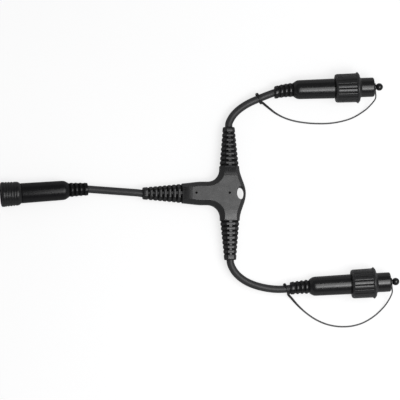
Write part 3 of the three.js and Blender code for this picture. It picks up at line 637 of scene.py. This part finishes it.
# Connector grips
def grip(name, body_length, web_turn, sideways, connector, node, material):
    front = RELIEF + body_length
    middles = [math.pi / 2 + web_turn, -math.pi / 2 + web_turn]
    half = math.asin(WEB_WIDTH / 2 / RELIEF_ROOT_R)
    turns = with_edges(60, middles, half)
    mask = near(turns, middles, half)

    def outer(x):
        return np.full_like(turns, RELIEF_TIP_R + (RELIEF_ROOT_R - RELIEF_TIP_R) * x / RELIEF)

    def core(x):
        return np.full_like(turns, RELIEF_CORE_R)

    rows = [
        (0.0, MOUTH_R), (0.0, RELIEF_TIP_R - 0.9), (0.12, RELIEF_TIP_R - 0.45), (0.4, RELIEF_TIP_R - 0.12),
        (0.85, RELIEF_TIP_R),
    ]
    rows += ribs(
        outer, core, mask, 0.35, RELIEF_GAP_FIRST, RELIEF_GAP_PITCH, RELIEF_GAPS, RELIEF_GAP_WIDTH, 0.55, 0.45
    )
    recess = SPIGOT_R + 2 * GAP
    core_end = SHEATH_IN_GRIP + CORE_CHAMBER
    body = rounded([
        (RELIEF - 0.4, RELIEF_ROOT_R, 0), (RELIEF + 0.2, RELIEF_ROOT_R + 0.35, 0.3),
        (RELIEF + SHOULDER * 0.55, BODY_REAR_R - 0.35, 1.3), (RELIEF + SHOULDER, BODY_REAR_R, 1.2),
        (front, BODY_FRONT_R, 0.5), (front, recess, 0.25),
        (core_end, recess, 0), (core_end, CORE_CHAMBER_R, 0),
        (SHEATH_IN_GRIP, CORE_CHAMBER_R, 0), (SHEATH_IN_GRIP, BORE_R, 0),
    ], 5)
    inner = [(RELIEF * (1 - i / 6), BORE_R) for i in range(6)] + [(0.3, BORE_R)]
    outline = rows[:-1] + body + inner
    points = tail_bend(lathe_points(outline, turns), sideways)
    piece = make_object(name, transform(points, connector), quads(len(outline), len(turns), True))

    # Mask of painted shade on the floors of the relief's gaps
    def gap_depth(local):
        x = local[:, 0]
        bend = sideways * (np.clip(RELIEF - x, 0, None) / RELIEF) ** 2
        r = np.hypot(local[:, 1] - bend, local[:, 2])
        line = RELIEF_TIP_R + (RELIEF_ROOT_R - RELIEF_TIP_R) * x / RELIEF
        return sunk(line, r, 0.7, 1.3) * (x > 2) * (x < RELIEF)

    mark_depth(piece, connector, gap_depth)
    return dress(piece, material, [node])


SIDE_WEBS = math.radians(90)  # turn of the webs from the top
LOWER_WEBS = math.radians(55)
inlet_shell = grip("inlet_grip_shell", INLET_BODY, SIDE_WEBS, INLET_BEND, INLET, "inlet_grip", INLET_GRIP)
upper_shell = grip("upper_grip_shell", OUTLET_BODY, SIDE_WEBS, UPPER_BEND, UPPER, "upper_outlet_grip", GRIP)
lower_shell = grip("lower_grip_shell", OUTLET_BODY, LOWER_WEBS, LOWER_BEND, LOWER, "lower_outlet_grip", GRIP)


# Coupling nuts
def nut(name, connector, node, body):
    pitch = 2 * math.pi / NUT_GROOVES
    half = NUT_GROOVE_WIDTH / 2 / NUT_R
    near_groove = [mark * half for mark in (0, 0.45, 0.8, 1.08, 1.35, 1.9)]
    on_pad = [share * pitch for share in (0.28, 0.4, 0.5)]
    offsets = sorted({side * away for away in near_groove + on_pad for side in (-1, 1)})
    offsets = [offset for offset in offsets if offset > -pitch / 2 + 1e-6]
    turns = np.array([(i + 0.5) * pitch + offset for i in range(NUT_GROOVES) for offset in offsets])
    away = np.abs((turns / pitch) % 1 - 0.5) * pitch / half
    groove = np.interp(away, (0.8, 1.35, 1.9), (1.0, 0.12, 0.0))
    pad = np.clip(away * half / (pitch / 2), 0, 1)
    flat = 0.07 * (1 - pad**2)

    def grooved(r, depth):
        return r - flat * min(depth, 1) - groove * NUT_GROOVE_DEPTH * depth

    end = NUT_START + NUT_LENGTH
    flange = end - FLANGE_LENGTH
    shoulder = NUT_START + NUT_CHAMFER
    grip_r = NUT_R - NUT_TAPER
    rows = [
        (NUT_START + 0.25, NECK_R + GAP), (NUT_START, NECK_R + GAP + 0.25), (NUT_START, NUT_REAR_R - 0.3),
        (NUT_START + 0.08, NUT_REAR_R - 0.08), (NUT_START + 0.28, NUT_REAR_R + 0.08),
        (shoulder - 0.45, grooved(grip_r - 0.22, 0.25)), (shoulder - 0.1, grooved(grip_r - 0.06, 0.8)),
        (shoulder + 0.35, grooved(grip_r, 1.0)),
    ]
    for share in (0.2, 0.4, 0.6, 0.8):
        x = shoulder + (flange - shoulder) * share
        rows.append((x, grooved(grip_r + NUT_TAPER * share, 1.0)))
    rows += [
        (flange - 0.55, grooved(NUT_R, 1.0)), (flange - 0.25, grooved(NUT_R + 0.02, 0.85)),
        (flange - 0.1, grooved(NUT_R + 0.12, 0.2)), (flange + 0.1, np.full_like(turns, NUT_R + 0.3)),
    ]
    bore = THREAD_R + THREAD_PLAY
    back = NUT_START + NUT_BACK_WALL
    tail = rounded([
        (flange + 0.1, NUT_R + 0.3, 0), (flange + FLANGE_RISE, FLANGE_R, 0.35),
        (end - FLANGE_CONE, FLANGE_R, 0.35), (end, FLANGE_MOUTH_R, 0.3), (end, bore, 0.2), (back, bore, 0),
        (back, NECK_R + GAP, 0),
    ], 4)
    outline = rows + tail[1:]
    points = transform(lathe_points(outline, turns), connector)
    piece = make_object(name, points, quads(len(outline), len(turns), True))

    # Mask of painted shade on the floors of the nut's grooves
    def groove_depth(local):
        x = local[:, 0]
        return sunk(NUT_R, np.hypot(local[:, 1], local[:, 2]), 0.3, 0.7) * (x > shoulder) * (x < flange)

    mark_depth(piece, connector, groove_depth)
    return dress(piece, NUT, [node], body, smooth=35)


upper_nut = nut("upper_nut_shell", UPPER, "upper_coupling_nut", "upper_nut")
lower_nut = nut("lower_nut_shell", LOWER, "lower_coupling_nut", "lower_nut")


# Sealing caps
def cap(name, connector, node, body):
    bore_end = OUTLET_FRONT + BARREL_REACH + GAP
    bore = BARREL_R + GAP
    shoulder = NUT_FRONT - 0.6
    outline = rounded([
        (bore_end, 0.0, 0), (bore_end, bore, 0.3), (SKIRT_START, bore, 0.3),
        (SKIRT_START, THREAD_R - 0.4, 0.1), (SKIRT_START + 0.6, THREAD_R, 0.2),
        (shoulder, THREAD_R, 0.3), (shoulder + CAP_CONE, CAP_R, 0.35),
        (CAP_END, CAP_R, 1.6), (CAP_END, NECK_BALL_R + 0.35, 0.3), (CAP_END + 0.5, NECK_BALL_R, 0.25),
        (CAP_END + NECK_LENGTH, NECK_BALL_R, 0.12),
    ], 6)
    start = math.pi - math.asin(NECK_BALL_R / BALL_R)
    steps = 18
    for i in range(1, steps + 1):
        turn_angle = start * (1 - i / steps)
        outline.append((BALL_MIDDLE + BALL_R * math.cos(turn_angle), BALL_R * math.sin(turn_angle)))
    outline[-1] = (BALL_MIDDLE + BALL_R, 0.0)
    turns = even_turns(64)
    points = transform(lathe_points(outline, turns), connector)
    piece = make_object(name, points, quads(len(outline), len(turns)))
    return dress(piece, CAP, [node], body, smooth=40)


upper_cap = cap("upper_cap_shell", UPPER, "upper_sealing_cap", "upper_cap")
lower_cap = cap("lower_cap_shell", LOWER, "lower_sealing_cap", "lower_cap")


# Inlet collar with its outside thread
def collar(name, connector, node):
    rear = INLET_FRONT + GAP
    end = rear + COLLAR_LENGTH
    floor = end - SOCKET_DEPTH
    socket = BARREL_R + 0.5
    thread_start, thread_stop = rear + COLLAR_CONE + 1.6, end - 2.6
    turns = even_turns(96)
    rows = rounded([
        (rear, SPIGOT_R, 0), (rear, BODY_FRONT_R, 0.3), (rear + COLLAR_CONE, COLLAR_REAR_R, 0.4),
    ], 4)[:-1]
    count = 64
    for i in range(count + 1):
        x = rear + COLLAR_CONE + 0.3 + (end - 2 * COLLAR_EDGE - rear - COLLAR_CONE - 0.3) * i / count
        share = (x - rear - COLLAR_CONE) / (COLLAR_LENGTH - COLLAR_CONE - 2 * COLLAR_EDGE)
        crest = COLLAR_REAR_R + (COLLAR_FRONT_R - COLLAR_REAR_R) * share
        phase = (x / THREAD_LEAD + turns / (2 * math.pi)) % 1
        valley = np.interp(np.abs(phase - 0.5) * 2, (0.0, 0.25, 0.62, 1.0), (1.0, 1.0, 0.0, 0.0))
        fade = np.clip((x - thread_start) / 1.2, 0, 1) * np.clip((thread_stop - x) / 1.0, 0, 1)
        rows.append((x, crest - THREAD_DEPTH * valley * fade))
    rows += rounded([
        (end - 2 * COLLAR_EDGE, COLLAR_FRONT_R, 0),
        (end - COLLAR_EDGE * 0.25, COLLAR_FRONT_R - 0.1, 1.3),
        (end, COLLAR_FRONT_R - COLLAR_EDGE * 1.9, 0.6), (end, socket, 0.35),
        (floor, socket, 0.2), (floor, 0.0, 0),
    ], 4)[1:]
    spigot_start = SHEATH_IN_GRIP + CORE_CHAMBER + GAP
    outline = [(spigot_start, 0.0), (spigot_start, SPIGOT_R - 0.3), (spigot_start + 0.3, SPIGOT_R)] + rows
    points = transform(lathe_points(outline, turns), connector)
    piece = make_object(name, points, quads(len(outline), len(turns)))
    return dress(piece, COLLAR, [node], smooth=35)


collar_shell = collar("inlet_collar_shell", INLET, "inlet_threaded_collar")


# Junction moulding: one block with bevels, three ribbed arms, a slot, and bores as in the solid
def side_outline():
    """Outline of the block seen from above, as three chains of (x, y): lower side, ear side, upper side."""
    end = ARM_SIDE - ARM_RELIEF
    inlet_end = -(ARM_INLET - ARM_RELIEF)
    low = -INLET_HALF_WIDTH - FILLET
    centre_x = -ARM_HALF_WIDTH - FILLET
    lower = [(inlet_end, -ARM_HALF_WIDTH)]
    for i in range(1, 9):
        share = i / 8
        ease = share * share * (3 - 2 * share) * 0.35 + share * 0.65
        width = ARM_HALF_WIDTH + (INLET_HALF_WIDTH - ARM_HALF_WIDTH) * ease
        lower.append((inlet_end + INLET_TAPER * share, -width))
    steps = 20
    for i in range(steps + 1):
        angle = math.pi / 2 * (1 - i / steps)
        lower.append((centre_x + FILLET * math.cos(angle), low + FILLET * math.sin(angle)))
    lower.append((-ARM_HALF_WIDTH, -end))
    ear = []
    count = 44
    for i in range(count + 1):
        y = -end + 2 * end * i / count
        ear.append((ARM_HALF_WIDTH + EAR_REACH * math.cos(math.pi / 2 * y / end) ** 2, y))
    upper = [(x, -y) for x, y in reversed(lower)]
    return lower, ear, upper


def inset_ring(chains, inset, end_inset):
    """The outline moved inwards; each chain's two ends slide along the arm's end line."""
    ring = []
    for chain in chains:
        points = np.array(chain, float)
        ahead = np.gradient(points, axis=0)
        ahead[0] = points[1] - points[0]
        ahead[-1] = points[-1] - points[-2]
        ahead /= np.linalg.norm(ahead, axis=1)[:, None]
        inward = np.stack((-ahead[:, 1], ahead[:, 0]), axis=1)
        moved = points + inward * inset
        ring.append(moved)
    lower, ear, upper = ring
    end = ARM_SIDE - ARM_RELIEF - end_inset
    inlet_end = -(ARM_INLET - ARM_RELIEF) + end_inset

    def clip_chain(chain, axis, sign, limit):
        """Ends the chain at the limit, keeping its count of points."""
        keep = chain.copy()
        over = sign * keep[:, axis] > sign * limit
        if over.any():
            inside = np.where(~over)[0]
            edge = inside[0] if over[0] else inside[-1]
            beyond = edge - 1 if over[0] else edge + 1
            a, b = keep[edge], keep[beyond]
            t = (limit - a[axis]) / (b[axis] - a[axis])
            keep[over] = a + (b - a) * t
        return keep

    lower = clip_chain(clip_chain(lower, 0, -1, inlet_end), 1, -1, -end)
    upper = clip_chain(clip_chain(upper, 0, -1, inlet_end), 1, 1, end)
    low_ear = clip_chain(ear, 1, -1, -end)
    ear = clip_chain(low_ear, 1, 1, end)
    return np.concatenate((lower, ear, upper))


def junction_block():
    half = MIDDLE
    wall = half - BEVEL_HIGH
    root_top = ARM_ROOT_R * ARM_FLATTEN - 0.1
    slope = BEVEL_IN / BEVEL_HIGH
    profile = [
        (0.0, 0.0, 0.0), (0.0, 0.0, wall - 0.5), (0.1, 0.0, wall + 0.1), (0.35, 0.0, wall + 0.65),
        ((root_top - 1.6 - wall) * slope, 0.0, root_top - 1.6),
        ((root_top - wall) * slope, 0.0, root_top),
    ]
    for share in (0.22, 0.45, 0.68, 0.86, 1.0):
        z = root_top + (half - 0.06 - root_top) * (1 - (1 - share) ** 1.5)
        profile.append(((z - wall) * slope, FACET * share, z))
    profile += [(BEVEL_IN + 0.3, FACET + 0.4, half), (BEVEL_IN + 0.4, FACET + 0.5, half)]
    levels = [(inset, end, -z) for inset, end, z in reversed(profile[1:])] + profile
    chains = side_outline()
    rings = []
    for inset, end, z in levels:
        ring = inset_ring(chains, inset, end)
        rings.append(np.column_stack((ring, np.full(len(ring), z))))
    count = len(rings[0])
    points = np.concatenate(rings)
    faces = quads(len(rings), count)
    faces.append(tuple(range(count)))
    faces.append(tuple(range((len(rings) - 1) * count, len(rings) * count)))
    return make_object("junction_block", points, faces)


def plate_radius(turns, width, height, top, side):
    """Section of the ribs: flat top and bottom, sloping shoulders, short upright sides, soft corners."""
    c, s = np.abs(np.cos(turns)) + 1e-9, np.abs(np.sin(turns)) + 1e-9
    across, over = height - side, width - top
    reach = across * top + over * height
    power = 26
    inverse = (c / width) ** power + (s / height) ** power + ((across * c + over * s) / reach) ** power
    return inverse ** (-1 / power)


def arm_radius(turns, x):
    """Surface of an arm's ribs at a place along it, for each turn."""
    share = np.clip(x, 0, ARM_RELIEF) / ARM_RELIEF
    width = ARM_TIP_R + (ARM_ROOT_R - ARM_TIP_R) * share
    height = ARM_TIP_HEIGHT + (ARM_ROOT_R * ARM_FLATTEN - ARM_TIP_HEIGHT) * share
    return plate_radius(turns, width, height, width * PLATE_TOP, width * PLATE_SIDE)


def arm(name, matrix):
    middles = [math.pi / 2, -math.pi / 2]
    half = math.asin(SPINE_WIDTH / 2 / (ARM_TIP_R * 0.9))
    turns = with_edges(88, middles, half, 0.014)
    mask = near(turns, middles, half)

    def outer(x):
        return arm_radius(turns, x)

    def core(x):
        share = x / ARM_RELIEF
        width = ARM_TIP_R + (ARM_ROOT_R - ARM_TIP_R) * share - ARM_CORE_IN
        height = ARM_CORE_HEIGHT + ARM_CORE_RISE * share
        return 1 / np.sqrt((np.cos(turns) / width) ** 2 + (np.sin(turns) / height) ** 2)

    rows = [
        (0.0, MOUTH_R), (0.0, outer(0) - 0.75), (0.12, outer(0.1) - 0.35), (0.4, outer(0.4) - 0.1),
        (0.9, outer(0.9)),
    ]
    rows += ribs(outer, core, mask, 0.25, ARM_GAP_FIRST, ARM_GAP_PITCH, ARM_GAPS, ARM_GAP_WIDTH, 0.42, 0.3)
    rows[-1] = (rows[-1][0], outer(ARM_RELIEF))
    end = ARM_RELIEF + ARM_INTO
    rows += [(end, outer(ARM_RELIEF)), (end, np.full_like(turns, BORE_R)), (0.3, BORE_R)]
    points = transform(lathe_points(rows, turns), matrix)
    return make_object(name, points, quads(len(rows), len(turns), True))


def combine(base, tool, operation):
    """Applies one exact boolean and removes the tool."""
    modifier = base.modifiers.new("cut", "BOOLEAN")
    modifier.solver = "EXACT"
    modifier.operation = operation
    modifier.object = tool
    graph = bpy.context.evaluated_depsgraph_get()
    mesh = bpy.data.meshes.new_from_object(base.evaluated_get(graph))
    base.modifiers.clear()
    old = base.data
    base.data = mesh
    bpy.data.meshes.remove(old)
    bpy.data.objects.remove(tool)
    return base


def prism(name, outline_of, levels):
    """Closed upright tool; outline_of(grow) gives its outline in plan and levels are (z, grow)."""
    count = len(outline_of(0))
    rings = [np.column_stack((outline_of(grow), np.full(count, z))) for z, grow in levels]
    faces = quads(len(rings), count)
    faces.append(tuple(range(count)))
    faces.append(tuple(range((len(rings) - 1) * count, len(rings) * count)))
    return make_object(name, np.concatenate(rings), faces)


def ellipse(x, y, width, length):
    turns = even_turns(48)

    def outline_of(grow):
        along = x + (width / 2 + grow) * np.cos(turns)
        aside = y + (length / 2 + grow) * np.sin(turns)
        return np.stack((along, aside), axis=1)

    return outline_of


def box_outline(x0, x1, y0, y1):
    return lambda grow: np.array(((x0, y0), (x1, y0), (x1, y1), (x0, y1)), float)


def rod(name, start, end, radius, sides=28):
    path = np.array([start, (np.array(start) + np.array(end)) / 2, end], float)
    return tube(name, path, radius, sides)


# Mask of painted shade on the floors of the arms' gaps
def arm_gap_depth(local):
    x, y, z = local.T
    line = arm_radius(np.arctan2(z, y), x)
    return sunk(line, np.hypot(y, z), 0.6, 1.2) * (x > 2.5) * (x < ARM_RELIEF)


# Mask of painted shade in the two dimples
def dimple_depth(local):
    x, y, z = local.T
    nearest = np.min([np.hypot(x - at, y) for at in DIMPLES], axis=0)
    return sunk(MIDDLE, z, 0.1, 0.5) * (z > 0) * (nearest < DIMPLE_WIDTH)


def junction():
    block = junction_block()
    overlap = ARM_RELIEF + ARM_INTO - 6  # the bores start inside the arms' own
    places = (
        Matrix.Translation((-ARM_INLET, 0, 0)),
        Matrix.Translation((0, ARM_SIDE, 0)) @ Matrix.Rotation(-math.pi / 2, 4, "Z"),
        Matrix.Translation((0, -ARM_SIDE, 0)) @ Matrix.Rotation(math.pi / 2, 4, "Z"),
    )
    for i, place in enumerate(places):
        combine(block, arm(f"arm_{i}", place), "UNION")
    slot_x = ARM_HALF_WIDTH + EAR_REACH - SLOT_RIM - SLOT_WIDTH / 2
    high = MIDDLE + 1
    flare = [(MIDDLE - 4.4, 0), (MIDDLE - 3.2, 0.1), (high, SLOT_FLARE)]
    flare = [(-z, grow) for z, grow in reversed(flare)] + flare
    combine(block, prism("slot", ellipse(slot_x, 0, SLOT_WIDTH, SLOT_LENGTH), flare), "DIFFERENCE")
    side_bore = ARM_SIDE - overlap
    combine(block, rod("bore_a", (-ARM_INLET + overlap, 0, 0), (-16, 0, 0), BORE_R), "DIFFERENCE")
    combine(block, rod("bore_b", (0, side_bore, 0), (0, -side_bore, 0), BORE_R), "DIFFERENCE")
    levels = [(-CHAMBER, 0), (CHAMBER, 0)]
    for i, sides in enumerate(CHAMBER_BOXES):
        combine(block, prism(f"chamber_{i}", box_outline(*sides), levels), "DIFFERENCE")
    for i, x in enumerate(DIMPLES):
        dip = [(MIDDLE - DIMPLE_DEPTH, -0.1), (MIDDLE - 0.12, 0), (MIDDLE + 1, 0.25)]
        combine(block, prism(f"dimple_{i}", ellipse(x, 0, DIMPLE_WIDTH, DIMPLE_WIDTH), dip), "DIFFERENCE")
    for place in places:
        mark_depth(block, place, arm_gap_depth)
    mark_depth(block, Matrix(), dimple_depth)
    block.name = "junction_shell"
    block.data.name = "junction_shell"
    block.data.transform(Matrix.Translation((0, 0, MIDDLE * MM)))
    return dress(block, JUNCTION, ["junction_moulding"], smooth=30)


junction()


# Looks of the inner pieces that stay as they are in the CAD model
LOOKS = {
    "contact_carrier": CARRIER,
    "contact_live": BRASS,
    "contact_return": BRASS,
    "pin_live": BRASS,
    "pin_return": BRASS,
    "seal_ring": SEAL,
    "gasket": SEAL,
    "splice": SPLICE,
}
CORES = {"_live": LIVE, "_return": RETURN}
for node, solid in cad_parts.items():
    looks = CORES if "core" in node else LOOKS
    for word, material in looks.items():
        if word in node:
            for holder in solid.material_slots:
                holder.material = material
            if not solid.material_slots:
                solid.data.materials.append(material)


# Pieces that each cable carries; the loop turns each entry into a list and keeps nothing
CARRIED = {
    "inlet": [inlet_shell, collar_shell],
    "upper": [upper_shell, upper_nut, upper_cap],
    "lower": [lower_shell, lower_nut, lower_cap],
}
for name, (piece, path, exit_at) in cables.items():
    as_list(CARRIED[name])


# Floor, light and background
FLOOR_HALF = 4000
FLOOR_Z = -0.05
FLOOR_TONES = ((0.39, 0.39, 0.393), (0.43, 0.43, 0.433))
FLOOR_GLOW = 0.72
SKY_FILL = 0.27
SKY_GLOSS = (0.42, 0.10)  # what gloss shows of the world at the horizon and overhead
SKY_GLOSS_UP_TO = 0.45
# Each lamp: its sides along X and Y, its height and its radiance
LAMPS = {
    "overhead": (-22, 740, -540, 225, 900, 2.5),
    "overhead_middle": (40, 420, -400, -170, 905, 3.4),
}


def floor_material():
    material = bpy.data.materials.new("floor")
    material.use_nodes = True
    tree = material.node_tree
    shader = tree.nodes["Principled BSDF"]
    place = add_node(tree, "ShaderNodeTexCoord").outputs["Object"]
    tone = mixed(tree, noise(tree, place, 4.0), *FLOOR_TONES)
    tree.links.new(tone, shader.inputs["Base Color"])
    shader.inputs["Roughness"].default_value = 0.9
    shader.inputs["Specular IOR Level"].default_value = 0.1
    rays = add_node(tree, "ShaderNodeLightPath")
    seen = add_node(tree, "ShaderNodeMath", operation="MAXIMUM")
    tree.links.new(rays.outputs["Is Camera Ray"], seen.inputs[0])
    tree.links.new(rays.outputs["Is Transmission Ray"], seen.inputs[1])
    glow = add_node(tree, "ShaderNodeMath", operation="MULTIPLY")
    glow.inputs[1].default_value = FLOOR_GLOW
    tree.links.new(seen.outputs[0], glow.inputs[0])
    tree.links.new(glow.outputs[0], shader.inputs["Emission Strength"])
    shader.inputs["Emission Color"].default_value = (1, 1, 1, 1)
    return material


def floor():
    corners = ((-1, -1), (1, -1), (1, 1), (-1, 1))
    points = [(x * FLOOR_HALF, y * FLOOR_HALF, FLOOR_Z) for x, y in corners]
    mesh = bpy.data.meshes.new("floor")
    mesh.from_pydata([tuple(v * MM for v in p) for p in points], [], [(0, 1, 2, 3)])
    plane = bpy.data.objects.new("floor", mesh)
    bpy.context.scene.collection.objects.link(plane)
    mesh.materials.append(floor_material())


floor()


def world_light():
    world = bpy.data.worlds.new("world")
    bpy.context.scene.world = world
    world.use_nodes = True
    tree = world.node_tree
    background = tree.nodes["Background"]
    rays = add_node(tree, "ShaderNodeLightPath")
    direction = add_node(tree, "ShaderNodeSeparateXYZ")
    tree.links.new(add_node(tree, "ShaderNodeTexCoord").outputs["Generated"], direction.inputs[0])
    glossy = remap(tree, direction.outputs["Z"], 0.0, SKY_GLOSS_UP_TO, *SKY_GLOSS)
    level = add_node(tree, "ShaderNodeMix", data_type="FLOAT")
    level.inputs[2].default_value = SKY_FILL
    tree.links.new(rays.outputs["Is Glossy Ray"], level.inputs[0])
    tree.links.new(glossy, level.inputs[3])
    seen = add_node(tree, "ShaderNodeMath", operation="MAXIMUM")
    tree.links.new(rays.outputs["Is Camera Ray"], seen.inputs[0])
    tree.links.new(rays.outputs["Is Transmission Ray"], seen.inputs[1])
    last = add_node(tree, "ShaderNodeMix", data_type="FLOAT")
    tree.links.new(seen.outputs[0], last.inputs[0])
    tree.links.new(level.outputs[0], last.inputs[2])
    last.inputs[3].default_value = 1.0
    tree.links.new(last.outputs[0], background.inputs["Strength"])
    background.inputs["Color"].default_value = (1, 1, 1, 1)


world_light()


def soft_box(name, x0, x1, y0, y1, height, radiance):
    """Rectangular lamp facing down; its power follows from its size and radiance."""
    width, depth = (x1 - x0) * MM, (y1 - y0) * MM
    data = bpy.data.lights.new(name, "AREA")
    data.shape = "RECTANGLE"
    data.size, data.size_y = width, depth
    data.energy = radiance * math.pi * width * depth
    lamp = bpy.data.objects.new(name, data)
    lamp.location = ((x0 + x1) / 2 * MM, (y0 + y1) / 2 * MM, height * MM)
    bpy.context.scene.collection.objects.link(lamp)


for name, sides in LAMPS.items():
    soft_box(name, *sides)

bpy.context.scene.view_settings.view_transform = "Standard"
